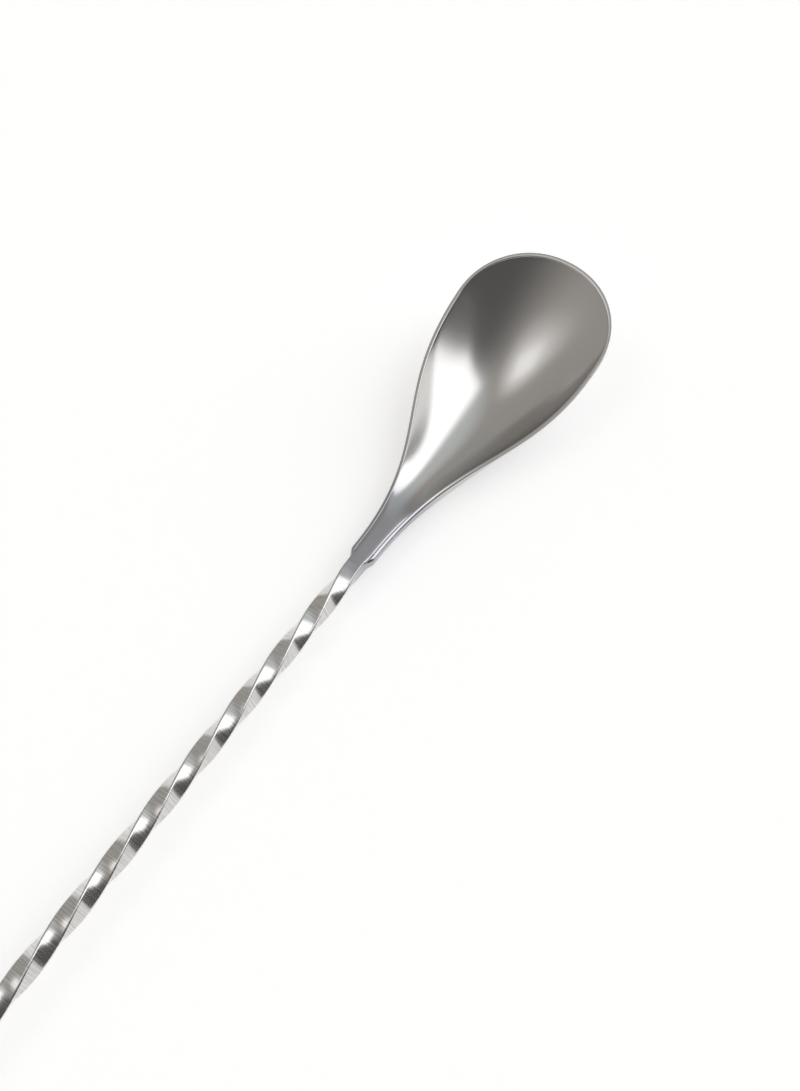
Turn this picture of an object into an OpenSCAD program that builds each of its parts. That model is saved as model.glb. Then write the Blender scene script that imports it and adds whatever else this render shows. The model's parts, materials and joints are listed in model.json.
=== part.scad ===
// Bar spoon: an egg-shaped bowl with a forged neck, a twisted square stem and a muddler
// disc that screws onto a stud. All of it is stainless steel.
// It lies on a level surface with the bowl up. +X points to the tip of the bowl, +Z is up,
// and the origin is on that surface, under the middle of the spoon.
// Each piece is drawn with the stem's axis along X and the tip at zero, and "station"
// is a distance back from the tip. Module lying() then sets the spoon down.

/* [Overall] */
// Length from the tip of the bowl to the flat face of the muddler
overall_len = 280; // [200:1:400]

/* [Bowl] */
// Greatest width of the bowl, outside
bowl_w = 30; // [24:0.5:40]
// Length of the bowl and its neck
bowl_len = 64; // [60:0.5:90]
// Station of the widest place
widest_at = 13.3; // [9:0.1:20]
// Squareness of the rounded tip, where 2 is an ellipse
tip_power = 2.08; // [1.9:0.01:2.4]
// Length of the full part of the side, as a share of the taper's length
side_fullness = 0.44; // [0.3:0.01:0.6]
// Length of the slender part by the neck, as a share of the taper's length
side_slimness = 0.48; // [0.3:0.01:0.7]
// Depth of the hollow below the rim at its deepest place
bowl_depth = 7.2; // [5:0.1:12]
// Station of the deepest place
deepest_at = 23.5; // [15:0.5:30]
// Station where the hollow runs out on the neck
hollow_to = 57; // [46:0.5:64]
// Height of the rim at the tip above the top of the neck
tip_rise = 13.1; // [6:0.1:20]
// Thickness of the metal under the hollow
bowl_wall = 1; // [0.8:0.05:1.6]
// Width of the flat rim
rim_w = 0.7; // [0.5:0.05:1]
// Height of the rim's upright outer edge
rim_h = 0.35; // [0.2:0.05:0.6]

/* [Neck] */
// Width of the neck
neck_w = 4.6; // [3.2:0.1:6]
// Thickness of the neck
neck_t = 2.8; // [2.3:0.1:4]
// Height of the neck's sloping top corners
neck_chamfer = 0.5; // [0.2:0.05:0.8]

/* [Stem] */
// Side of the square bar
bar_side = 2.8; // [2.6:0.1:5]
// Radius of the bar's corners
bar_corner = 0.3; // [0.1:0.05:0.5]
// Length of one full turn of the twist
twist_pitch = 39.8; // [20:0.1:80]
// Length over which the twist builds up from the neck
twist_lead = 3.4; // [2:0.1:15]

/* [Neck joint] */
// Diameter of the turned end inside the weld bead
land_d = 2.4; // [2.1:0.1:4]
// Length of that turned end, on each side of the joint
land_len = 1.5; // [0.6:0.1:2]
// How far the weld bead stands out from the turned end
bead_proud = 1.1; // [0.5:0.05:1.5]
// Diameter of the spigot that goes into the neck
neck_spigot_d = 1.4; // [1:0.1:1.8]
// Length of the spigot that goes into the neck
neck_spigot_len = 4; // [2:0.5:8]

/* [Ferrule] */
// Outer diameter of the ferrule
ferrule_d = 6; // [5.4:0.1:9]
// Length of the ferrule
ferrule_len = 13; // [12:0.5:20]
// Diameter of the ferrule's small end
ferrule_nose_d = 4.6; // [4.4:0.1:6]
// Length of the taper at the small end
ferrule_taper = 3; // [1:0.5:4]
// Diameter of the spigot that goes into the ferrule
ferrule_spigot_d = 2.2; // [1.8:0.1:2.4]
// Length of the spigot that goes into the ferrule
ferrule_spigot_len = 7; // [4:0.5:7]

/* [Muddler] */
// Diameter of the muddler disc
disc_d = 20; // [16:0.5:28]
// Thickness of the disc at its edge
disc_t = 3; // [2:0.25:5]
// Radius of the disc's edges
disc_round = 0.8; // [0.4:0.1:0.9]
// Height of the boss above the disc
boss_h = 6; // [5.5:0.5:10]
// Thread diameter of the stud
stud_d = 4; // [3:0.5:4]
// Depth of the stud in the ferrule
stud_in_ferrule = 4.5; // [3:0.5:4.5]
// Depth of the stud in the muddler
stud_in_muddler = 5; // [3:0.5:5]

/* [Clearances] */
// Gap round a spigot, filled by the solder
solder_gap = 0.05; // [0.02:0.01:0.1]
// Running gap round the stud in the muddler, on the radius
thread_gap = 0.05; // [0.02:0.01:0.1]
// Gap between the muddler's boss and the ferrule
seat_gap = 0.05; // [0.02:0.01:0.1]
// Space left past the end of a spigot or stud in its hole
end_gap = 0.5; // [0.2:0.1:1]

/* [Hidden] */
$fn = 64;
tiny = 0.01;

// Steps round the front quarter, along each side, and across the bowl. An odd number across
// leaves a narrow flat under the middle for the spoon to rest on
front_steps = 10;
side_steps = 22;
cross_steps = 17;
// Angle of the first step round the tip
tip_angle = 5;
// Roundness of the bowl's sections, where 0.5 is an ellipse and 1 a parabola
bowl_power = 0.8;
// The same for the depth along the middle, in front of the deepest place and behind it
front_power = 1;
back_power = 1.8;
// The same for the neck, and the squareness that goes with it
neck_power = 0.3;
neck_square = 4;
// Steps of the twist in one turn, and steps round each corner of the bar
turn_steps = 32;
corner_steps = 3;

taper_len = bowl_len - widest_at;
joint_at = bowl_len + land_len;
bar_from = joint_at + land_len;
boss_at = overall_len - disc_t - boss_h;
ferrule_to = boss_at - seat_gap;
bar_to = ferrule_to - ferrule_len;
disc_r = disc_d / 2;
disc_from = overall_len - disc_t;
ferrule_hole = ferrule_spigot_len + end_gap;
stud_from = ferrule_to - stud_in_ferrule;
stud_to = ferrule_to + stud_in_muddler;
boss_d = ferrule_d;
boss_fillet = min(boss_h / 2, disc_r - disc_round - boss_d / 2);

function bezier(a, b, c, d, t) =
    a * pow(1 - t, 3) + 3 * b * t * pow(1 - t, 2) + 3 * c * t * t * (1 - t) + d * pow(t, 3);
function smooth(t) = let (u = min(1, max(0, t))) u * u * (3 - 2 * u);

// Outline: [station, half width] at q, inset by e. q is 0 at the tip, 1 at the widest
// place and 2 at the neck
function outline(q, e) = q < 1 ? front(90 * q, e) : side(q - 1, e);
function front(a, e) = [
    widest_at - (widest_at - e) * pow(cos(a), 2 / tip_power),
    (bowl_w / 2 - e) * pow(sin(a), 2 / tip_power)
];
function side(t, e) = [
    bezier(widest_at, widest_at + side_fullness * taper_len,
           bowl_len - side_slimness * taper_len, bowl_len, t),
    bezier(bowl_w / 2, bowl_w / 2, neck_w / 2, neck_w / 2, t) - e
];
// Height of the rim above the stem's axis, a parabola that climbs to the tip
function rim_z(s) = neck_t / 2 + tip_rise * pow((bowl_len - s) / bowl_len, 2);
// Depth of the hollow along the middle
function hollow(s) = s < deepest_at
    ? bowl_depth * pow(max(0, 1 - pow((deepest_at - s) / (deepest_at - rim_w), 2)), front_power)
    : bowl_depth * pow(max(0, 1 - pow((s - deepest_at) / (hollow_to - deepest_at), 2)), back_power);
// How much of the section belongs to the neck, from 0 in the bowl to 1
function neckness(q) = smooth((q - 1.4) / 0.5);
function mix(a, b, t) = a + (b - a) * t;
// Metal under the middle of the hollow
function metal(q) = mix(bowl_wall, neck_t, neckness(q));
function bottom_z(q) =
    let (in = outline(q, rim_w))
    rim_z(in[0]) - hollow(in[0]) - metal(q);

// Height of the edge of the rim, and of the underside at a share v of the half width
function edge_z(q) = rim_z(outline(q, 0)[0]) - neck_chamfer * neckness(q);
function under_z(q, v) =
    let (low_z = edge_z(q) - rim_h,
         power = mix(bowl_power, neck_power, neckness(q)),
         square = mix(2, neck_square, neckness(q)))
    low_z - (low_z - bottom_z(q)) * pow(max(0, 1 - pow(abs(v), square)), power);

// One closed section of the bowl at q: left edge, underside, right edge, then the hollow
function section(q) =
    let (out = outline(q, 0), in = outline(q, rim_w),
         across = [for (i = [0 : cross_steps]) sin(180 * i / cross_steps - 90)])
    concat(
        [[-out[0], -out[1], edge_z(q)]],
        [for (v = across) [-out[0], v * out[1], under_z(q, v)]],
        [[-out[0], out[1], edge_z(q)]],
        [for (i = [cross_steps : -1 : 0]) let (v = across[i])
            [-in[0], v * in[1], rim_z(in[0]) - hollow(in[0]) * pow(max(0, 1 - v * v), bowl_power)]]
    );
section_size = 2 * cross_steps + 4;
stations = concat(
    [for (i = [0 : front_steps - 1]) mix(tip_angle / 90, 1, i / front_steps)],
    [for (i = [0 : side_steps]) 1 + i / side_steps]
);

// Angle of the bar's flats at a station: it stays level at the neck, then turns left-handed
function twist(s) =
    let (past = s - bar_from, rate = 360 / twist_pitch)
    past < twist_lead ? rate * past * past / (2 * twist_lead) : rate * (past - twist_lead / 2);
bar_section = [for (corner = [0 : 3], i = [0 : corner_steps])
    let (a = 90 * (corner + i / corner_steps), c = 90 * corner + 45, reach = bar_side / 2 - bar_corner)
    [reach * sqrt(2) * cos(c) + bar_corner * cos(a), reach * sqrt(2) * sin(c) + bar_corner * sin(a)]];

// The surface under the spoon touches the disc's edge and the bowl's underside
disc_touch = disc_from + disc_round;
flat_edge = sin(90 / cross_steps);
rest_slope = min([for (q = stations)
    (under_z(q, flat_edge) + disc_r) / (disc_touch - outline(q, 0)[0])]);
rest_angle = atan(rest_slope);
lift = disc_r * cos(rest_angle) - disc_touch * sin(rest_angle);
reach_front = rim_z(0) * sin(rest_angle);
reach_back = overall_len * cos(rest_angle) + (disc_r - disc_round) * sin(rest_angle);

// Two triangles for each cell between rings of points, the rings all in one list
function ring_faces(rings, size) = [for (r = [0 : rings - 2], i = [0 : size - 1])
    let (a = r * size + i, b = r * size + (i + 1) % size)
    each [[a, b, b + size], [a, b + size, a + size]]];

module lying() {
    translate([(reach_back - reach_front) / 2, 0, lift])
        rotate([0, rest_angle, 0])
            children();
}

// A turned shape whose axis runs back along the stem from a station
module turned(station) {
    translate([-station, 0, 0])
        rotate([0, -90, 0])
            children();
}

module bowl_shell() {
    last = (len(stations) - 1) * section_size;
    right_edge = cross_steps + 2;
    polyhedron(
        points = [for (q = stations) each section(q)],
        faces = concat(
            ring_faces(len(stations), section_size),
            [[for (i = [right_edge : -1 : 0]) i]],
            [[for (i = [section_size - 1 : -1 : right_edge + 1]) i]],
            [[section_size - 1, right_edge + 1, right_edge, 0]],
            [[for (i = [0 : section_size - 1]) last + i]]
        )
    );
}

module bowl() {
    color([0.62, 0.62, 0.61])
        lying()
            difference() {
                union() {
                    bowl_shell();
                    turned(bowl_len - tiny) cylinder(d = land_d, h = land_len + tiny);
                }
                turned(joint_at - neck_spigot_len - end_gap)
                    cylinder(d = neck_spigot_d + 2 * solder_gap, h = neck_spigot_len + end_gap + tiny);
            }
}

module weld_bead() {
    color([0.74, 0.74, 0.73])
        lying()
            turned(joint_at)
                rotate_extrude()
                    translate([land_d / 2, 0])
                        intersection() {
                            scale([bead_proud / land_len, 1]) circle(r = land_len);
                            translate([0, -land_len]) square([bead_proud, 2 * land_len]);
                        }
}

module twisted_bar() {
    steps = ceil((bar_to - bar_from) / twist_pitch * turn_steps);
    size = len(bar_section);
    polyhedron(
        points = [for (i = [0 : steps], p = bar_section)
            let (s = mix(bar_from, bar_to, i / steps), t = twist(s))
            [-s, p[0] * cos(t) - p[1] * sin(t), p[0] * sin(t) + p[1] * cos(t)]],
        faces = concat(
            ring_faces(steps + 1, size),
            [[for (i = [size - 1 : -1 : 0]) i]],
            [[for (i = [0 : size - 1]) steps * size + i]]
        )
    );
}

module twisted_stem() {
    color([0.7, 0.7, 0.71])
        lying()
            union() {
                twisted_bar();
                turned(joint_at) cylinder(d = land_d, h = land_len + tiny);
                turned(joint_at - neck_spigot_len) cylinder(d = neck_spigot_d, h = neck_spigot_len + tiny);
                turned(bar_to - tiny) cylinder(d = ferrule_spigot_d, h = ferrule_spigot_len + tiny);
            }
}

module ferrule() {
    color([0.76, 0.76, 0.77])
        lying()
            turned(bar_to)
                difference() {
                    union() {
                        cylinder(d1 = ferrule_nose_d, d2 = ferrule_d, h = ferrule_taper);
                        translate([0, 0, ferrule_taper]) cylinder(d = ferrule_d, h = ferrule_len - ferrule_taper);
                    }
                    translate([0, 0, -tiny])
                        cylinder(d = ferrule_spigot_d + 2 * solder_gap, h = ferrule_hole + tiny);
                    translate([0, 0, ferrule_len - stud_in_ferrule])
                        cylinder(d = stud_d, h = stud_in_ferrule + tiny);
                }
}

module threaded_stud() {
    color([0.66, 0.66, 0.67])
        lying()
            turned(stud_from) cylinder(d = stud_d, h = stud_to - stud_from);
}

module muddler() {
    color([0.78, 0.78, 0.79])
        lying()
            turned(boss_at)
                difference() {
                    rotate_extrude()
                        difference() {
                            union() {
                                square([boss_d / 2, boss_h + disc_t]);
                                translate([0, boss_h]) disc_half();
                                translate([boss_d / 2 - tiny, boss_h - boss_fillet]) square(boss_fillet + tiny);
                            }
                            translate([boss_d / 2 + boss_fillet, boss_h - boss_fillet]) circle(r = boss_fillet);
                        }
                    translate([0, 0, -tiny])
                        cylinder(d = stud_d + 2 * thread_gap, h = stud_in_muddler + end_gap + tiny);
                }
}
// Half of the disc's section, with its two edges rounded
module disc_half() {
    square([disc_r - disc_round, disc_t]);
    translate([0, disc_round]) square([disc_r, disc_t - 2 * disc_round]);
    for (z = [disc_round, disc_t - disc_round])
        translate([disc_r - disc_round, z]) circle(r = disc_round);
}

bowl();
weld_bead();
twisted_stem();
ferrule();
threaded_stud();
muddler();
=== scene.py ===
import bpy
import bmesh
import json
import math
import numpy as np
from mathutils import Matrix, Vector


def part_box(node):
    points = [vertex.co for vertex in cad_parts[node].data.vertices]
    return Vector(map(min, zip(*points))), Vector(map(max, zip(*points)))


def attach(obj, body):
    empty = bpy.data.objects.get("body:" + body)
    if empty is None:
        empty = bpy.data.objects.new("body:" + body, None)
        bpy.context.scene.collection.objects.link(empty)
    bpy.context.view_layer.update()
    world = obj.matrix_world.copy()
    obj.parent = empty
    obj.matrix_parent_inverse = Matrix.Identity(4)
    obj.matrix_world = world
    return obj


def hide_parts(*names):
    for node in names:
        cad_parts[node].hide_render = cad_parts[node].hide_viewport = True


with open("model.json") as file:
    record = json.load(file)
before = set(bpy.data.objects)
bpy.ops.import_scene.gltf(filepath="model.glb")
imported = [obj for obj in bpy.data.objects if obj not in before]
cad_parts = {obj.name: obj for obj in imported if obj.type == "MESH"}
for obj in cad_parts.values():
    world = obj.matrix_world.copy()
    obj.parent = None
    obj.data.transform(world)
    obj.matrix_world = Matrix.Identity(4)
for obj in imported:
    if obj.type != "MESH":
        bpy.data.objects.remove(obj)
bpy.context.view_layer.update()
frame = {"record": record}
mm = 0.001

# The spoon's own axes, taken from the mount on the muddler's flat face. A place on the
# spoon is (station, across, up): back from the tip along the stem, to its left, and out of the bowl.
spoon = {"overallLen": 280.0}
faceMount = frame["record"]["mounts"][0]
backDir = np.array(faceMount["axis"], float)
backDir /= np.linalg.norm(backDir)
leftDir = np.array([0.0, 1.0, 0.0])
upDir = np.cross(leftDir, backDir)
tipPlace = np.array(faceMount["pos_m"], float) - backDir * spoon["overallLen"] * mm


def toFrame(points):
    # place = tip + back * station + left * across + up * height, all in millimetres
    points = np.asarray(points, float) * mm
    axes = np.stack([backDir, leftDir, upDir])
    return tipPlace + points @ axes


def smoothStep(t):
    t = np.clip(t, 0.0, 1.0)
    return t * t * (3.0 - 2.0 * t)


def blend(a, b, t):
    return a + (b - a) * t


def bezier(a, b, c, d, t):
    # cubic Bezier: the four values weighted by the Bernstein cubics of t
    return a * (1 - t) ** 3 + 3 * b * t * (1 - t) ** 2 + 3 * c * t * t * (1 - t) + d * t ** 3


def gridMesh(name, rows, wrapColumns=False, capEnds=False):
    # rows is an array (rows, columns, 3) in spoon places. Each cell becomes one four-sided face
    rowCount, columnCount = rows.shape[:2]
    index = np.arange(rowCount * columnCount).reshape(rowCount, columnCount)
    if wrapColumns:
        index = np.concatenate([index, index[:, :1]], axis=1)
    faces = np.stack([index[:-1, :-1], index[:-1, 1:], index[1:, 1:], index[1:, :-1]], axis=-1).reshape(-1, 4)
    faceList = faces.tolist()
    if capEnds:
        faceList.append(index[0, :columnCount][::-1].tolist())
        faceList.append(index[-1, :columnCount].tolist())
    mesh = bpy.data.meshes.new(name)
    mesh.from_pydata(toFrame(rows.reshape(-1, 3)).tolist(), [], faceList)
    return mesh


def finishPiece(name, mesh, material, node, body, weld=1e-6):
    # closes seams and poles, turns the faces outwards, parents the piece to its body's empty and hides the CAD
    # part it stands for
    build = bmesh.new()
    build.from_mesh(mesh)
    bmesh.ops.remove_doubles(build, verts=build.verts, dist=weld)
    bmesh.ops.dissolve_degenerate(build, edges=build.edges, dist=weld * 0.1)
    openEdges = [e for e in build.edges if e.is_boundary]
    if openEdges:
        bmesh.ops.holes_fill(build, edges=openEdges, sides=0)
    bmesh.ops.recalc_face_normals(build, faces=build.faces)
    build.to_mesh(mesh)
    build.free()
    mesh.polygons.foreach_set("use_smooth", np.ones(len(mesh.polygons), bool))
    mesh.set_sharp_from_angle(angle=math.radians(40))
    mesh.update()
    piece = bpy.data.objects.new(name, mesh)
    bpy.context.scene.collection.objects.link(piece)
    mesh.materials.append(material)
    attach(piece, body)
    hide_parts(node)
    return piece


# ---- steel ----

steel = {
    "bowlColor": (0.58, 0.57, 0.56, 1.0),
    "bowlRough": 0.2,
    "stemColor": (0.62, 0.612, 0.6, 1.0),
    "stemRough": 0.2,
    "weldRough": 0.24,
    "turnedColor": (0.6, 0.6, 0.6, 1.0),
    "turnedRough": 0.2,
    "threadColor": (0.55, 0.55, 0.55, 1.0),
    "threadRough": 0.32,
}


def addSockets(group, inputs, outputs):
    for label, kind, value in inputs:
        socket = group.interface.new_socket(name=label, in_out="INPUT", socket_type=kind)
        if value is not None:
            socket.default_value = value
    for label, kind in outputs:
        group.interface.new_socket(name=label, in_out="OUTPUT", socket_type=kind)


def node(tree, kind, **settings):
    made = tree.nodes.new(kind)
    for key, value in settings.items():
        setattr(made, key, value)
    return made


def makeGrainGroup():
    # fine polishing lines: noise stretched along one axis gives a value round 0.5 for the Bump
    # height, a small change of roughness, and the colour between the dark and light steel
    group = bpy.data.node_groups.new("polishGrain", "ShaderNodeTree")
    addSockets(group,
               [("Lines", "NodeSocketVector", None), ("Scale", "NodeSocketFloat", 4000.0),
                ("Base Roughness", "NodeSocketFloat", 0.25), ("Variation", "NodeSocketFloat", 0.05),
                ("Dark", "NodeSocketColor", None), ("Light", "NodeSocketColor", None)],
               [("Height", "NodeSocketFloat"), ("Roughness", "NodeSocketFloat"), ("Color", "NodeSocketColor")])
    enter = node(group, "NodeGroupInput")
    place = node(group, "ShaderNodeTexCoord")
    stretch = node(group, "ShaderNodeVectorMath", operation="MULTIPLY")
    group.links.new(place.outputs["Object"], stretch.inputs[0])
    group.links.new(enter.outputs["Lines"], stretch.inputs[1])
    return finishFromNoise(group, enter, stretch.outputs[0])


def finishFromNoise(group, enter, place):
    # the end that both finishes share: one noise gives the height, the roughness and the colour.
    # roughness = base roughness + variation * (noise - 0.5)
    fine = node(group, "ShaderNodeTexNoise")
    fine.inputs["Detail"].default_value = 3.0
    group.links.new(place, fine.inputs["Vector"])
    group.links.new(enter.outputs["Scale"], fine.inputs["Scale"])
    centred = node(group, "ShaderNodeMath", operation="SUBTRACT")
    centred.inputs[1].default_value = 0.5
    group.links.new(fine.outputs["Fac"], centred.inputs[0])
    total = node(group, "ShaderNodeMath", operation="MULTIPLY_ADD")
    group.links.new(centred.outputs[0], total.inputs[0])
    group.links.new(enter.outputs["Variation"], total.inputs[1])
    group.links.new(enter.outputs["Base Roughness"], total.inputs[2])
    share = node(group, "ShaderNodeMapRange", interpolation_type="SMOOTHSTEP")
    share.inputs["From Min"].default_value = 0.3
    share.inputs["From Max"].default_value = 0.7
    group.links.new(fine.outputs["Fac"], share.inputs["Value"])
    tone = node(group, "ShaderNodeMix", data_type="RGBA")
    group.links.new(share.outputs["Result"], tone.inputs["Factor"])
    group.links.new(enter.outputs["Dark"], tone.inputs[6])
    group.links.new(enter.outputs["Light"], tone.inputs[7])
    leave = node(group, "NodeGroupOutput")
    group.links.new(fine.outputs["Fac"], leave.inputs["Height"])
    group.links.new(total.outputs[0], leave.inputs["Roughness"])
    group.links.new(tone.outputs[2], leave.inputs["Color"])
    return group


def makeTurningGroup():
    # lines left by turning: noise over the distance along the stem's axis and the distance from it,
    # so each line runs round the axis
    group = bpy.data.node_groups.new("turningLines", "ShaderNodeTree")
    addSockets(group,
               [("Scale", "NodeSocketFloat", 4000.0), ("Base Roughness", "NodeSocketFloat", 0.2),
                ("Variation", "NodeSocketFloat", 0.05), ("Dark", "NodeSocketColor", None),
                ("Light", "NodeSocketColor", None)],
               [("Height", "NodeSocketFloat"), ("Roughness", "NodeSocketFloat"), ("Color", "NodeSocketColor")])
    enter = node(group, "NodeGroupInput")
    place = node(group, "ShaderNodeTexCoord")
    fromAxis = node(group, "ShaderNodeVectorMath", operation="SUBTRACT")
    fromAxis.inputs[1].default_value = tuple(tipPlace)
    group.links.new(place.outputs["Object"], fromAxis.inputs[0])
    across = node(group, "ShaderNodeVectorMath", operation="CROSS_PRODUCT")
    across.inputs[1].default_value = tuple(backDir)
    group.links.new(fromAxis.outputs[0], across.inputs[0])
    radius = node(group, "ShaderNodeVectorMath", operation="LENGTH")
    group.links.new(across.outputs[0], radius.inputs[0])
    joined = node(group, "ShaderNodeCombineXYZ")
    group.links.new(stationAlong(group), joined.inputs["X"])
    group.links.new(radius.outputs["Value"], joined.inputs["Y"])
    return finishFromNoise(group, enter, joined.outputs[0])


def stationAlong(group):
    # distance back from the spoon's tip along the stem, in metres
    place = node(group, "ShaderNodeTexCoord")
    fromTip = node(group, "ShaderNodeVectorMath", operation="SUBTRACT")
    fromTip.inputs[1].default_value = tuple(tipPlace)
    group.links.new(place.outputs["Object"], fromTip.inputs[0])
    along = node(group, "ShaderNodeVectorMath", operation="DOT_PRODUCT")
    along.inputs[1].default_value = tuple(backDir)
    group.links.new(fromTip.outputs[0], along.inputs[0])
    return along.outputs["Value"]


# stations in mm where the painted reflection on the neck, a darker blue-grey tint, is nothing and where it is
# full, on the bowl's side and on the stem's
neckReflectionPaint = {"rise": (46.0, 54.0), "fall": (74.0, 67.0), "tint": (0.74, 0.75, 0.81, 1.0)}


def makeNeckReflectionPaint():
    # painted reflection: a darker blue-grey tint standing in for the cool, dark surroundings that the neck's flat
    # faces reflect, full between two stations, fading out on either side
    group = bpy.data.node_groups.new("paintedNeckReflection", "ShaderNodeTree")
    addSockets(group, [("Color", "NodeSocketColor", None)], [("Color", "NodeSocketColor")])
    enter = node(group, "NodeGroupInput")
    leave = node(group, "NodeGroupOutput")
    station = stationAlong(group)
    both = node(group, "ShaderNodeMath", operation="MULTIPLY")
    for slot, (fromStation, toStation) in enumerate((neckReflectionPaint["rise"], neckReflectionPaint["fall"])):
        ramp = node(group, "ShaderNodeMapRange", interpolation_type="SMOOTHSTEP")
        ramp.inputs["From Min"].default_value = fromStation * mm
        ramp.inputs["From Max"].default_value = toStation * mm
        group.links.new(station, ramp.inputs["Value"])
        group.links.new(ramp.outputs["Result"], both.inputs[slot])
    tinted = node(group, "ShaderNodeMix", data_type="RGBA", blend_type="MULTIPLY")
    tinted.inputs[7].default_value = neckReflectionPaint["tint"]
    group.links.new(both.outputs[0], tinted.inputs["Factor"])
    group.links.new(enter.outputs["Color"], tinted.inputs[6])
    group.links.new(tinted.outputs[2], leave.inputs["Color"])
    return group


neckReflectionGroup = makeNeckReflectionPaint()
grainGroup = makeGrainGroup()
turningGroup = makeTurningGroup()


def steelMaterial(name, color, group, values, bumpMm, grainTone):
    # the colour runs from a share below the given one to the same share above it, along the lines
    made = bpy.data.materials.new(name)
    made.use_nodes = True
    tree = made.node_tree
    shader = tree.nodes["Principled BSDF"]
    shader.inputs["Metallic"].default_value = 1.0
    finish = node(tree, "ShaderNodeGroup", node_tree=group)
    for label, value in values.items():
        finish.inputs[label].default_value = value
    for label, share in (("Dark", 1 - grainTone), ("Light", 1 + grainTone)):
        finish.inputs[label].default_value = [v * share for v in color[:3]] + [1.0]
    if bumpMm > 0:
        bump = node(tree, "ShaderNodeBump")
        bump.inputs["Strength"].default_value = 1.0
        bump.inputs["Distance"].default_value = bumpMm * mm
        tree.links.new(finish.outputs["Height"], bump.inputs["Height"])
        tree.links.new(bump.outputs["Normal"], shader.inputs["Normal"])
    # every steel gets the painted reflection over the neck: a darker blue-grey tint multiplied into its colour
    paintedReflection = node(tree, "ShaderNodeGroup", node_tree=neckReflectionGroup)
    tree.links.new(finish.outputs["Color"], paintedReflection.inputs["Color"])
    tree.links.new(paintedReflection.outputs["Color"], shader.inputs["Base Color"])
    tree.links.new(finish.outputs["Roughness"], shader.inputs["Roughness"])
    return made


bowlSteel = steelMaterial("bowlSteel", steel["bowlColor"], grainGroup,
                          {"Lines": (1.0, 1.0, 0.2), "Scale": 5000.0, "Base Roughness": steel["bowlRough"],
                           "Variation": 0.03}, bumpMm=0.0, grainTone=0.015)
stemSteel = steelMaterial("stemSteel", steel["stemColor"], grainGroup,
                          {"Lines": (1.0, 0.04, 0.04), "Scale": 4200.0, "Base Roughness": steel["stemRough"],
                           "Variation": 0.15}, bumpMm=0.002, grainTone=0.13)
weldSteel = steelMaterial("weldSteel", steel["bowlColor"], grainGroup,
                          {"Lines": (1.0, 1.0, 0.2), "Scale": 5000.0, "Base Roughness": steel["weldRough"],
                           "Variation": 0.05}, bumpMm=0.0, grainTone=0.03)
turnedSteel = steelMaterial("turnedSteel", steel["turnedColor"], turningGroup,
                            {"Scale": 5000.0, "Base Roughness": steel["turnedRough"],
                             "Variation": 0.1}, bumpMm=0.0015, grainTone=0.06)
threadSteel = steelMaterial("threadSteel", steel["threadColor"], grainGroup,
                            {"Lines": (1.0, 1.0, 1.0), "Scale": 3000.0, "Base Roughness": steel["threadRough"],
                             "Variation": 0.1}, bumpMm=0.002, grainTone=0.08)
print("materials made")


# ---- bowl and neck ----

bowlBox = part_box("bowl")
# Sizes are in mm and stations run back from the tip. hollowPower, power and landPower round the
# sections of the hollow, the underside and the rim's land. flatUnder is the share of the half
# width that stays flat under the middle, where the spoon rests
bowl = {
    "width": (bowlBox[1].y - bowlBox[0].y) / mm,
    "length": 64.0,
    "widestAt": 13.3,
    "tipPower": 2.08,
    "sideFullness": 0.44,
    "sideSlimness": 0.48,
    "depth": 7.2,
    "deepestAt": 23.5,
    "hollowTo": 57.0,
    "frontPower": 1.0,
    "backPower": 1.8,
    "tipRise": 13.1,
    "wall": 1.0,
    "rimWidth": 0.7,
    "rimHeight": 0.35,
    "rimRound": 0.16,
    "landPower": 0.7,
    "dropPower": 8,
    "flatUnder": 0.0923,
    "hollowPower": 0.9,
    "power": 0.8,
    "frontSteps": 64,
    "sideSteps": 130,
    "hollowSteps": 44,
    "rimSteps": 14,
    "underSteps": 36,
}
# from and blend say where, on the walk along the rim, the bowl's section turns into the neck's
neck = {
    "width": 4.6,
    "thick": 2.8,
    "chamfer": 0.3,
    "chamferPower": 1.5,
    "power": 0.3,
    "square": 4.0,
    "from": 1.4,
    "blend": 0.5,
}


def bowlOutline(q, inset):
    # q from 0 at the tip to 1 at the widest place is a quarter of a superellipse; from 1 to 2
    # at the neck it is a cubic Bezier with its handles along the spoon
    angle = np.clip(q, 0, 1) * math.pi / 2
    reach = 2 / bowl["tipPower"]
    frontStation = bowl["widestAt"] - (bowl["widestAt"] - inset) * np.cos(angle) ** reach
    roundHalf = (bowl["width"] / 2 - inset) * np.sin(angle) ** reach
    t = np.clip(q - 1, 0, 1)
    taper = bowl["length"] - bowl["widestAt"]
    sideStation = bezier(bowl["widestAt"], bowl["widestAt"] + bowl["sideFullness"] * taper,
                         bowl["length"] - bowl["sideSlimness"] * taper, bowl["length"], t)
    sideHalf = bezier(bowl["width"] / 2, bowl["width"] / 2, neck["width"] / 2, neck["width"] / 2, t) - inset
    isFront = q < 1
    return np.where(isFront, frontStation, sideStation), np.where(isFront, roundHalf, sideHalf)


def rimUp(station):
    # the rim is a parabola that climbs from the top of the neck to the tip
    return neck["thick"] / 2 + bowl["tipRise"] * ((bowl["length"] - station) / bowl["length"]) ** 2


def frontHalf(station, inset):
    # half width of the outline between the tip and the widest place
    share = np.clip((bowl["widestAt"] - station) / (bowl["widestAt"] - inset), 0, 1)
    return (bowl["width"] / 2 - inset) * (1 - share ** bowl["tipPower"]) ** (1 / bowl["tipPower"])


def hollowDepth(station):
    # along the middle: (1 - u squared) to a power, where u runs from 0 at the deepest place
    # to 1 at the tip's rim in front of it, and to 1 where the hollow runs out behind it
    inFront = station < bowl["deepestAt"]
    reach = np.where(inFront, bowl["deepestAt"] - bowl["rimWidth"], bowl["hollowTo"] - bowl["deepestAt"])
    share = np.clip(1 - ((station - bowl["deepestAt"]) / reach) ** 2, 0, 1)
    return bowl["depth"] * share ** np.where(inFront, bowl["frontPower"], bowl["backPower"])


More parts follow.
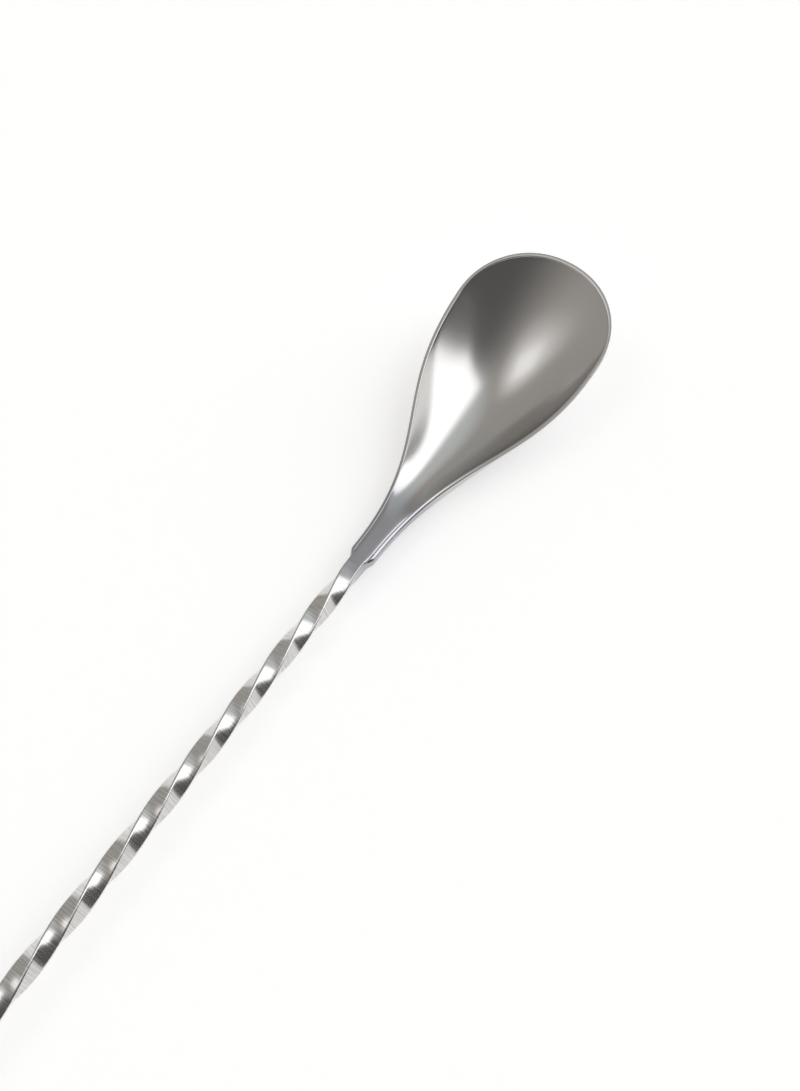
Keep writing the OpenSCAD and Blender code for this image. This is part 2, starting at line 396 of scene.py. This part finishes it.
def acrossShare(q, rho, station, across, inset):
    # how far a point lies across its own section, 1 at the edge. The side's sections run straight
    # across, so there it is rho; round the tip it is found from the outline
    half = np.maximum(frontHalf(station, inset), 1e-6)
    share = np.where(q < 1, np.abs(across) / half, rho)
    return np.clip(np.where(rho > 0.9999, 1.0, share), 0, 1)


def rimLand():
    # half a superellipse over the rim, from its inner edge to its outer: the share of the way
    # across, and the share of rimRound by which the land lies lower there
    turn = np.linspace(-math.pi / 2, math.pi / 2, bowl["rimSteps"] + 1)
    over = 0.5 + 0.5 * np.sign(np.sin(turn)) * np.abs(np.sin(turn)) ** bowl["landPower"]
    return over, 1 - np.abs(np.cos(turn)) ** bowl["landPower"]


def makeBowl():
    # The rim is walked from the neck round the tip and back. At each step a profile runs from the
    # spine of the hollow up to the rim, over it, and down the underside to the spine again.
    # Up to the widest place the spine is one point, so the profiles there are spokes
    front = np.linspace(0, 1, bowl["frontSteps"] + 1)
    side = 1 + np.linspace(0, 1, bowl["sideSteps"] + 1)[1:]
    halfWay = np.concatenate([front, side])
    q = np.concatenate([halfWay[::-1], halfWay[1:]])
    sign = np.concatenate([-np.ones(len(halfWay)), np.ones(len(halfWay) - 1)])
    neckShare = smoothStep((q - neck["from"]) / neck["blend"])
    outStation, outHalf = bowlOutline(q, 0.0)
    inStation, inHalf = bowlOutline(q, bowl["rimWidth"])
    spine = np.where(q < 1, bowl["widestAt"], outStation)
    metal = blend(bowl["wall"], neck["thick"], neckShare)
    drop = bowl["rimRound"]
    edgeDrop = neck["chamfer"] * neckShare

    rho = np.sin(np.linspace(0, math.pi / 2, bowl["hollowSteps"] + 1))[:, None]
    hollowStation = blend(spine, inStation, rho)
    hollowAcross = sign * inHalf * rho
    across = acrossShare(q, rho, hollowStation, hollowAcross, bowl["rimWidth"])
    hollowUp = rimUp(hollowStation) - hollowDepth(hollowStation) * (1 - across ** 2) ** bowl["hollowPower"]
    hollowUp -= drop * (rho ** bowl["dropPower"] * neckShare + (1 - neckShare))
    hollowRows = np.stack([hollowStation, hollowAcross, hollowUp], axis=-1)

    # over the rim: the rounded land, without its first row, which the hollow ends on
    over, low = (share[1:, None] for share in rimLand())
    rimStation = blend(inStation, outStation, over)
    landUp = rimUp(rimStation) - drop * low - edgeDrop * over ** neck["chamferPower"]
    rimRows = np.stack([rimStation, sign * blend(inHalf, outHalf, over), landUp], axis=-1)

    # underside: the hollow's own shape one wall lower, which changes along the neck
    # to a superellipse with upright sides
    rhoUnder = np.cos(np.linspace(0, math.pi / 2, bowl["underSteps"] + 1))[:, None]
    underStation = blend(spine, outStation, rhoUnder)
    underAcross = sign * outHalf * rhoUnder
    across = np.maximum(acrossShare(q, rhoUnder, underStation, underAcross, 0.0), bowl["flatUnder"])
    inner = np.maximum(underStation,
                       bowl["rimWidth"] + underStation * (1 - bowl["rimWidth"] / bowl["widestAt"]))
    thickness = bowl["rimHeight"] + (metal - bowl["rimHeight"]) * (1 - rhoUnder ** 2) ** 0.5
    bowlUp = rimUp(underStation) - hollowDepth(inner) * (1 - across ** 2) ** bowl["power"] - thickness
    edgeUp = rimUp(underStation) - edgeDrop - bowl["rimHeight"]
    neckBottom = rimUp(underStation) - hollowDepth(underStation) - metal
    squared = np.maximum(rhoUnder, bowl["flatUnder"]) ** neck["square"]
    neckUp = edgeUp - (edgeUp - neckBottom) * (1 - squared) ** neck["power"]
    underRows = np.stack([underStation, underAcross, blend(bowlUp, neckUp, neckShare)], axis=-1)
    rows = np.concatenate([hollowRows, rimRows, underRows], axis=0)
    mesh = gridMesh("bowl", rows)
    return finishPiece("spoonBowl", mesh, bowlSteel, "bowl", "spoon", weld=2e-6)


spoonBowl = makeBowl()
print("bowl made", len(spoonBowl.data.polygons))


# ---- twisted stem ----

joint = {"landLen": 1.5}
jointAt = bowl["length"] + joint["landLen"]
ferrule = {
    "length": 13.0,
    "width": 6.0,
    "nose": 4.6,
    "taper": 3.0,
    "noseRound": 0.45,
    "noseCentre": 0.4,
    "shoulder": ((-0.25, -0.1), (-0.08, -0.02), (0.12, 0.0)),
    "noseGrooves": (4.2, 5.2),
    "endGroove": 2.0,
    "endRound": 0.3,
    "mouth": 0.2,
}
disc = {
    "width": 20.0,
    "thick": 3.0,
    "round": 0.8,
    "boss": 6.0,
    "fillet": 3.0,
    "seatGap": 0.05,
    "bossRound": 0.25,
    "bossGroove": 1.2,
    "drillPoint": 0.3,
    "drillShoulder": 0.2,
    "threadFrom": 0.45,
    "mouthDepth": 0.4,
    "mouthWidth": 0.35,
}
bossAt = spoon["overallLen"] - disc["thick"] - disc["boss"]
ferruleTo = bossAt - disc["seatGap"]
barTo = ferruleTo - ferrule["length"]
bar = {
    "from": jointAt + joint["landLen"],
    "side": 2.8,
    "corner": 0.3,
    "pitch": 39.8,
    "lead": 3.4,
    "stepMm": 0.25,
    "flatSteps": 8,
    "cornerSteps": 5,
}


def barSection():
    # a square with rounded corners: four arcs, with points spread along each flat between them
    reach = bar["side"] / 2 - bar["corner"]
    points = []
    for side in range(4):
        start = math.radians(90 * side)
        for step in range(bar["cornerSteps"] + 1):
            a = start + math.radians(90) * step / bar["cornerSteps"]
            centre = math.radians(90 * side + 45)
            points.append((reach * math.sqrt(2) * math.cos(centre) + bar["corner"] * math.cos(a),
                           reach * math.sqrt(2) * math.sin(centre) + bar["corner"] * math.sin(a)))
        here = points[-1]
        nextCentre = math.radians(90 * (side + 1) + 45)
        nextStart = math.radians(90 * (side + 1))
        there = (reach * math.sqrt(2) * math.cos(nextCentre) + bar["corner"] * math.cos(nextStart),
                 reach * math.sqrt(2) * math.sin(nextCentre) + bar["corner"] * math.sin(nextStart))
        for step in range(1, bar["flatSteps"]):
            t = smoothStep(step / bar["flatSteps"])
            points.append((blend(here[0], there[0], t), blend(here[1], there[1], t)))
    return np.array(points)


def makeStem():
    section = barSection()
    count = int((barTo - bar["from"]) / bar["stepMm"])
    station = np.linspace(bar["from"], barTo, count)
    past = station - bar["from"]
    rate = 2 * math.pi / bar["pitch"]
    turn = np.where(past < bar["lead"], rate * past ** 2 / (2 * bar["lead"]), rate * (past - bar["lead"] / 2))
    c, s = np.cos(turn)[:, None], np.sin(turn)[:, None]
    rows = np.stack([np.repeat(station[:, None], len(section), axis=1),
                     section[:, 0] * c - section[:, 1] * s,
                     section[:, 0] * s + section[:, 1] * c], axis=-1)
    mesh = gridMesh("stem", rows, wrapColumns=True)
    return finishPiece("twistedStem", mesh, stemSteel, "twisted_stem", "spoon")


twistedStem = makeStem()
print("stem made", len(twistedStem.data.polygons))


# ---- weld bead ----

bead = {
    "overlap": 0.02,
    "blendFrom": 0.15,
    "rows": 60,
    "columns": 160,
    "underPoints": 81,
    "topPoints": 31,
    "topReach": 0.95,
    "linePoints": 21,
}


def neckSection():
    # the neck's end as a closed outline of (across, up): the flat top, the rounded edges and the
    # underside's superellipse, all as the bowl's last row has them
    half, rise, rim = neck["width"] / 2, neck["thick"] / 2, bowl["rimWidth"]
    v = np.sin(np.linspace(-math.pi / 2, math.pi / 2, bead["underPoints"]))
    edge = rise - neck["chamfer"] - bowl["rimHeight"]
    under = edge - (edge + rise) * (1 - np.abs(v) ** neck["square"]) ** neck["power"]
    over, low = rimLand()
    edgeUp = rise - bowl["rimRound"] * low - neck["chamfer"] * over ** neck["chamferPower"]
    edgeAcross = half - rim + rim * over
    share = np.linspace(bead["topReach"], -bead["topReach"], bead["topPoints"])
    flat = list(zip((half - rim) * share, rise - bowl["rimRound"] * share ** bowl["dropPower"]))
    top = list(zip(edgeAcross[::-1], edgeUp[::-1])) + flat + list(zip(-edgeAcross, edgeUp))
    return np.array(list(zip(half * v, under)) + top)


def radiusAround(outline, angle):
    # distance from the axis to a closed outline at each angle
    points = np.concatenate([outline, outline[:1]])
    steps = np.linspace(0, 1, bead["linePoints"])[:-1, None, None]
    points = (points[:-1] + (points[1:] - points[:-1]) * steps).reshape(-1, 2)
    around = np.arctan2(points[:, 1], points[:, 0])
    order = np.argsort(around)
    return np.interp(angle, around[order], np.hypot(*points[order].T), period=2 * math.pi)


def makeBead():
    # the section stays the neck's up to blendFrom, then goes smoothly to the square bar's
    t = np.linspace(0, 1, bead["rows"])[:, None]
    angle = np.linspace(-math.pi, math.pi, bead["columns"], endpoint=False)
    share = smoothStep((t - bead["blendFrom"]) / (1 - bead["blendFrom"]))
    radius = blend(radiusAround(neckSection(), angle), radiusAround(barSection(), angle), share)
    station = jointAt - joint["landLen"] - bead["overlap"] + 2 * (joint["landLen"] + bead["overlap"]) * t
    rows = np.stack([station + 0 * angle, radius * np.cos(angle), radius * np.sin(angle)], axis=-1)
    mesh = gridMesh("bead", rows, wrapColumns=True, capEnds=True)
    return finishPiece("weldBead", mesh, weldSteel, "weld_bead", "spoon")


makeBead()
print("weld bead made")


# ---- turned pieces ----

# waveGain and waveCut flatten the crest and the root of the triangle wave; holeDepth is the share of
# the depth that the hole's thread has
thread = {
    "pitch": 0.7,
    "depth": 0.38,
    "rowStep": 0.05,
    "chamfer": 0.5,
    "waveGain": 1.3,
    "waveCut": 0.15,
    "holeDepth": 0.8,
}
stud = {
    "radius": 2.0,
    "inFerrule": 4.5,
    "inMuddler": 5.0,
    "hole": 2.05,
    "endGap": 0.5,
    "startGap": 0.02,
    "runIn": 0.1,
    "runOut": 0.05,
    "coneDrop": 0.25,
    "endDrop": 0.3,
}
groove = {"width": 0.5, "depth": 0.16}


def latheMesh(name, profile, steps, threaded=None, grow=0.0):
    # A profile of (station, radius) carried round the stem's axis. Rows marked in threaded follow a
    # helix: the radius changes by grow times a triangle wave of station over pitch less the turn
    profile = np.array(profile)
    angle = np.linspace(0, 2 * math.pi, steps, endpoint=False)
    station = profile[:, :1] + 0 * angle
    radius = profile[:, 1:2] + 0 * angle
    if threaded is not None:
        phase = (station / thread["pitch"] - angle / (2 * math.pi)) % 1.0
        wave = 1 - np.abs(2 * phase - 1)
        wave = np.clip(wave * thread["waveGain"] - thread["waveCut"], 0, 1)
        radius = radius + grow * wave * np.array(threaded)[:, None]
    rows = np.stack([station, radius * np.cos(angle), radius * np.sin(angle)], axis=-1)
    return gridMesh(name, rows, wrapColumns=True)


def arcPoints(centre, radius, fromDeg, toDeg, steps=8):
    a = np.radians(np.linspace(fromDeg, toDeg, steps + 1))
    return [(centre[0] + radius * math.cos(v), centre[1] + radius * math.sin(v)) for v in a]


def groovePoints(station, radius):
    # a shallow round-bottomed groove in a turned surface
    t = np.linspace(0, 1, 9)
    return [(station + groove["width"] * v, radius - groove["depth"] * math.sin(math.pi * v)) for v in t]


def makeFerrule():
    halfNose, half = ferrule["nose"] / 2, ferrule["width"] / 2
    holeFrom = ferruleTo - stud["inFerrule"]
    nose, end, mouth = ferrule["noseRound"], ferrule["endRound"], ferrule["mouth"]
    profile = [(barTo, 0.0), (barTo, halfNose - nose)]
    profile += arcPoints((barTo + nose, halfNose - ferrule["noseCentre"]), nose, 180, 90, 6)
    profile += [(barTo + ferrule["taper"] + along, half + out) for along, out in ferrule["shoulder"]]
    for along in ferrule["noseGrooves"]:
        profile += groovePoints(barTo + along, half)
    profile += groovePoints(ferruleTo - ferrule["endGroove"], half)
    profile += arcPoints((ferruleTo - end, half - end), end, 90, 0, 6)
    profile += [(ferruleTo, stud["hole"] + mouth), (ferruleTo - mouth, stud["hole"]),
                (holeFrom, stud["hole"]), (holeFrom, 0.0)]
    mesh = latheMesh("ferrule", profile, 128)
    return finishPiece("stemFerrule", mesh, turnedSteel, "ferrule", "spoon")


def makeStud():
    root = stud["radius"] - thread["depth"]
    begin, end = ferruleTo - stud["inFerrule"] + stud["startGap"], ferruleTo + stud["inMuddler"]
    station = np.arange(begin + stud["runIn"], end - stud["runOut"], thread["rowStep"])
    # the thread fades into a cone at the free end
    tip = np.clip((end - station) / thread["chamfer"], 0, 1)
    radius = np.minimum(root, root - stud["coneDrop"] + stud["coneDrop"] * tip)
    profile = [(begin, 0.0), (begin, root - stud["runIn"])] + list(zip(station, radius))
    profile += [(end, root - stud["endDrop"]), (end, 0.0)]
    threaded = [0.0, 0.0] + list(tip) + [0.0, 0.0]
    mesh = latheMesh("stud", profile, 96, threaded, thread["depth"])
    return finishPiece("threadedStud", mesh, threadSteel, "threaded_stud", "spoon")


def makeMuddler():
    half, bossHalf = disc["width"] / 2, ferrule["width"] / 2
    faceAt = spoon["overallLen"]
    holeTo = bossAt + stud["inMuddler"] + stud["endGap"]
    discAt = faceAt - disc["thick"]
    holeStation = np.arange(holeTo - disc["drillPoint"], bossAt + disc["threadFrom"], -thread["rowStep"])
    profile = [(holeTo + disc["drillPoint"], 0.0), (holeTo - disc["drillShoulder"], stud["hole"])]
    threaded = [0.0, 0.0]
    profile += [(v, stud["hole"]) for v in holeStation]
    threaded += [1.0] * len(holeStation)
    corner = disc["bossRound"]
    outside = [(bossAt + disc["mouthDepth"], stud["hole"] + stud["startGap"]),
               (bossAt, stud["hole"] + disc["mouthWidth"]), (bossAt, bossHalf - corner)]
    outside += arcPoints((bossAt + corner, bossHalf - corner), corner, 180, 90, 6)
    outside += groovePoints(bossAt + disc["bossGroove"], bossHalf)
    outside += arcPoints((discAt - disc["fillet"], bossHalf + disc["fillet"]), disc["fillet"], 270, 360, 16)
    outside += arcPoints((discAt + disc["round"], half - disc["round"]), disc["round"], 180, 90, 10)
    outside += arcPoints((faceAt - disc["round"], half - disc["round"]), disc["round"], 90, 0, 10)
    outside += [(faceAt, half * 0.5), (faceAt, 0.0)]
    profile += outside
    threaded += [0.0] * len(outside)
    mesh = latheMesh("muddler", profile, 160, threaded, thread["depth"] * thread["holeDepth"])
    return finishPiece("muddlerDisc", mesh, turnedSteel, "muddler", "muddler")


makeFerrule()
makeStud()
makeMuddler()
print("turned pieces made")


# ---- floor, light and camera ----

# The studio round the spoon, by direction: dark walls, mid grey in front with a lighter halo round
# the softbox, a pale lamp high up on the left, and the softbox itself. A mask is an axis and the
# sines past it at which it begins and is full. The softbox has one for each of its edges, and they
# meet in rounded corners
studio = {
    "dark": (0.125, 0.123, 0.12, 1.0),
    "mid": (0.45, 0.43, 0.405, 1.0),
    "midMask": ((0.55, 0.83, 0.0), -0.45, 0.03),
    "halo": (0.68, 0.715, 0.71, 1.0),
    "haloMask": ((0.644, -0.413, 0.644), 0.55, 0.85),
    "softbox": (2.0, 2.0, 2.02, 1.0),
    "edges": (((1.0, 0.0, 0.0), 0.04, 0.12), ((0.775, 0.536, 0.336), 0.0, 0.07),
              ((-0.191, -0.978, -0.086), -0.08, 0.12)),
    "edgeRound": 0.5,
    "lamp": (0.96, 0.945, 0.925, 1.0),
    "lampMask": ((-0.251, 0.418, 0.873), 0.925, 0.999),
}
floorLook = {"half": 1.6, "color": (0.93, 0.93, 0.93, 1), "rough": 0.9, "glow": 0.41}
keyLight = {"place": (-0.26, 0.627, 1.32), "aim": (0.06, 0, 0), "size": (0.4, 0.4), "power": 0.25}

view = {
    "place": (145.08, -62.92, 174.31),
    "aim": (59.36, -3.87, 0.0),
    "lens": 39.6,
    "sensor": 36.0,
    "near": 0.005,
    "far": 20.0,
}


def makeCamera():
    data = bpy.data.cameras.new("camera")
    data.lens = view["lens"]
    data.sensor_width = view["sensor"]
    data.clip_start = view["near"]
    data.clip_end = view["far"]
    cameraObject = bpy.data.objects.new("camera", data)
    bpy.context.scene.collection.objects.link(cameraObject)
    place = Vector(toFrame(view["place"]))
    aim = Vector(toFrame(view["aim"]))
    forward = (aim - place).normalized()
    right = forward.cross(Vector(upDir)).normalized()
    up = right.cross(forward)
    turn = Matrix((right, up, -forward)).transposed().to_4x4()
    cameraObject.matrix_world = Matrix.Translation(place) @ turn
    bpy.context.scene.camera = cameraObject


def makeFloor():
    size = floorLook["half"]
    mesh = bpy.data.meshes.new("floor")
    mesh.from_pydata([(-size, -size, 0), (size, -size, 0), (size, size, 0), (-size, size, 0)], [], [(0, 1, 2, 3)])
    floor = bpy.data.objects.new("floor", mesh)
    bpy.context.scene.collection.objects.link(floor)
    paint = bpy.data.materials.new("floorPaint")
    paint.use_nodes = True
    shader = paint.node_tree.nodes["Principled BSDF"]
    shader.inputs["Base Color"].default_value = floorLook["color"]
    shader.inputs["Roughness"].default_value = floorLook["rough"]
    shader.inputs["Emission Color"].default_value = (1, 1, 1, 1)
    shader.inputs["Emission Strength"].default_value = floorLook["glow"]
    mesh.materials.append(paint)


def makeLight(name, values):
    data = bpy.data.lights.new(name, "AREA")
    data.shape = "RECTANGLE"
    data.size, data.size_y = values["size"]
    data.energy = values["power"]
    lamp = bpy.data.objects.new(name, data)
    bpy.context.scene.collection.objects.link(lamp)
    place, aim = Vector(values["place"]), Vector(values["aim"])
    turn = (aim - place).to_track_quat("-Z", "Y").to_matrix().to_4x4()
    lamp.matrix_world = Matrix.Translation(place) @ turn


def alongDirection(tree, direction, axis):
    # the sine past an axis: direction times axis
    along = node(tree, "ShaderNodeVectorMath", operation="DOT_PRODUCT")
    along.inputs[1].default_value = axis
    tree.links.new(direction, along.inputs[0])
    return along.outputs["Value"]


def smoothMask(tree, value, fromValue, toValue):
    step = node(tree, "ShaderNodeMapRange", interpolation_type="SMOOTHSTEP")
    step.inputs["From Min"].default_value = fromValue
    step.inputs["From Max"].default_value = toValue
    tree.links.new(value, step.inputs["Value"])
    return step.outputs["Result"]


def mixTones(tree, below, above, mask):
    tone = node(tree, "ShaderNodeMix", data_type="RGBA")
    for socket, value in ((tone.inputs[6], below), (tone.inputs[7], above)):
        if isinstance(value, tuple):
            socket.default_value = value
        else:
            tree.links.new(value, socket)
    tree.links.new(mask, tone.inputs["Factor"])
    return tone.outputs[2]


def makeStudio():
    world = bpy.data.worlds.new("studio")
    world.use_nodes = True
    tree = world.node_tree
    direction = node(tree, "ShaderNodeTexCoord").outputs["Generated"]
    axis, fromValue, toValue = studio["haloMask"]
    front = mixTones(tree, studio["mid"], studio["halo"],
                     smoothMask(tree, alongDirection(tree, direction, axis), fromValue, toValue))
    axis, fromValue, toValue = studio["midMask"]
    walls = mixTones(tree, studio["dark"], front,
                     smoothMask(tree, alongDirection(tree, direction, axis), fromValue, toValue))
    axis, fromValue, toValue = studio["lampMask"]
    walls = mixTones(tree, walls, studio["lamp"],
                     smoothMask(tree, alongDirection(tree, direction, axis), fromValue, toValue))
    # the share of the light past each edge, and the smooth minimum of the three
    inside = None
    for axis, begins, full in studio["edges"]:
        past = node(tree, "ShaderNodeMapRange", clamp=False)
        past.inputs["From Min"].default_value = begins
        past.inputs["From Max"].default_value = full
        tree.links.new(alongDirection(tree, direction, axis), past.inputs["Value"])
        if inside is None:
            inside = past.outputs["Result"]
            continue
        least = node(tree, "ShaderNodeMath", operation="SMOOTH_MIN")
        least.inputs[2].default_value = studio["edgeRound"]
        tree.links.new(inside, least.inputs[0])
        tree.links.new(past.outputs["Result"], least.inputs[1])
        inside = least.outputs[0]
    tone = mixTones(tree, walls, studio["softbox"], smoothMask(tree, inside, 0.0, 1.0))
    tree.links.new(tone, tree.nodes["Background"].inputs["Color"])
    bpy.context.scene.world = world


makeCamera()
makeFloor()
makeStudio()
makeLight("key", keyLight)
bpy.context.scene.view_settings.view_transform = "Standard"
print("studio made")
